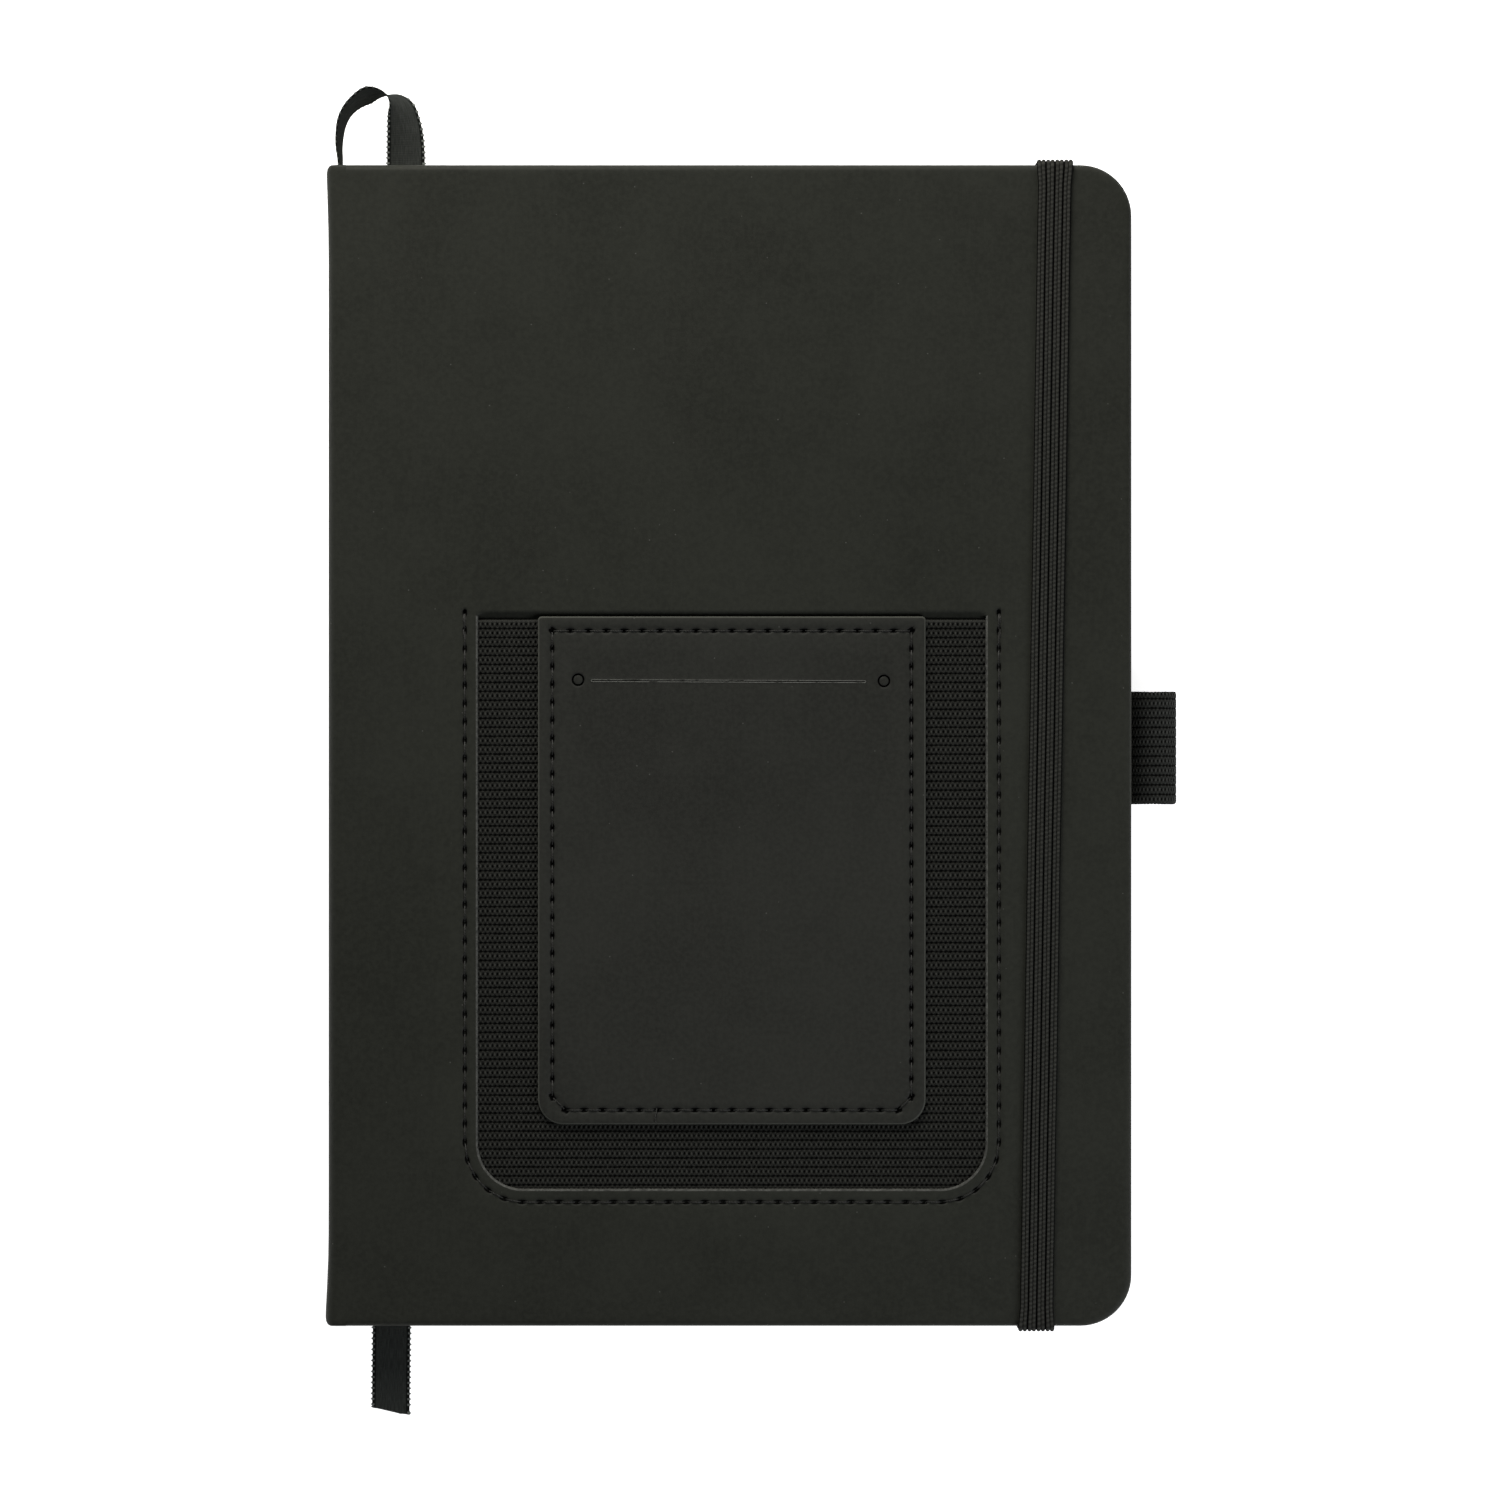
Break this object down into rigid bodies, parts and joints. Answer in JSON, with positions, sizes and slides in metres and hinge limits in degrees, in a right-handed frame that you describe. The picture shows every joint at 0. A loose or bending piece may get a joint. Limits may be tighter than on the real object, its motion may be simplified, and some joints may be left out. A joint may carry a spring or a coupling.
{
  "type": "pocket notebook",
  "caption": "Hard-cover journal with a wrapped cover, elastic phone pocket with a slotted card pocket, pen loop, ribbon marker and elastic closure band.",
  "frame": {"origin": "centre of the back cover's outer face, which the closed notebook lies on", "axes": "+X to the fore-edge, +Y to the head, +Z out of the front cover"},
  "size_m": [0.1535, 0.2398, 0.0159],
  "materials": {
    "cover_leather": "matt imitation leather, dark olive grey, fine mottle",
    "panel_leather": "matt imitation leather, cut edges",
    "greyboard": "dense grey board",
    "endpaper": "uncoated ivory endpaper",
    "page_paper": "uncoated ivory paper",
    "loop_elastic": "ribbed woven elastic",
    "band_elastic": "ribbed woven elastic",
    "pocket_elastic": "broad woven elastic, matt",
    "satin_ribbon": "satin weave with bound edges",
    "gauze": "open bookbinder's gauze",
    "cover_thread": "matt polyester thread",
    "panel_thread": "matt polyester thread",
    "book_thread": "waxed thread"
  },
  "bodies": {
    "back_cover": {"back_cover_skin": "cover_leather", "back_board": "greyboard", "back_pastedown": "endpaper", "rear_flyleaf": "endpaper", "signature_06": "page_paper", "signature_07": "page_paper", "signature_08": "page_paper", "signature_09": "page_paper", "signature_10": "page_paper", "rear_sewing_thread": "book_thread", "rear_spine_lining": "gauze", "pen_loop": "loop_elastic", "band_anchor_head": "band_elastic", "band_anchor_tail": "band_elastic", "band_wrap_head": "band_elastic", "band_wrap_tail": "band_elastic", "ribbon_loop": "satin_ribbon", "ribbon_strip": "satin_ribbon"},
    "spine": {"spine_skin": "cover_leather", "spine_card": "greyboard"},
    "front_cover": {"front_cover_skin": "cover_leather", "front_board": "greyboard", "front_pastedown": "endpaper", "window_stitching": "cover_thread", "pocket_elastic_left": "pocket_elastic", "pocket_elastic_right": "pocket_elastic", "pocket_elastic_bottom": "pocket_elastic"},
    "front_pages": {"front_flyleaf": "endpaper", "signature_01": "page_paper", "signature_02": "page_paper", "signature_03": "page_paper", "signature_04": "page_paper", "signature_05": "page_paper", "front_sewing_thread": "book_thread", "front_spine_lining": "gauze"},
    "phone_pocket": {"pocket_elastic_back": "pocket_elastic", "card_panel": "panel_leather", "card_panel_stitching": "panel_thread"},
    "closure_band": {"band_run": "band_elastic"}
  },
  "joints": [
    {"name": "spine_joint", "type": "hinge", "parent": "back_cover", "child": "spine", "pos_m": [-0.07191, 0, 0.00059], "axis": [0, -1, 0], "range_deg": [0, 90]},
    {"name": "cover_joint", "type": "hinge", "parent": "spine", "child": "front_cover", "pos_m": [-0.07191, 0, 0.01441], "axis": [0, -1, 0], "range_deg": [0, 90]},
    {"name": "pages_joint", "type": "hinge", "parent": "back_cover", "child": "front_pages", "pos_m": [-0.0705, 0, 0.00748], "axis": [0, -1, 0], "range_deg": [0, 180], "deforming": ["ribbon_loop", "ribbon_strip"]},
    {"name": "band_joint", "type": "hinge", "parent": "back_cover", "child": "closure_band", "pos_m": [0.05697, 0, 0.0075], "axis": [0.016, 0.9999, 0], "range_deg": [0, 180], "deforming": ["band_run", "band_wrap_head", "band_wrap_tail"]},
    {"name": "pocket_slide", "type": "slide", "parent": "front_cover", "child": "phone_pocket", "axis": [0, 0, 1], "range_m": [0, 0.009], "stiffness_N_per_m": 250, "deforming": ["pocket_elastic_left", "pocket_elastic_right", "pocket_elastic_bottom"]}
  ],
  "couplings": [
    {"joint": "spine_joint", "follows": "cover_joint", "ratio": 1},
    {"joint": "pages_joint", "follows": "cover_joint", "ratio": 2},
    {"joint": "band_joint", "follows": "cover_joint", "ratio": 2}
  ]
}
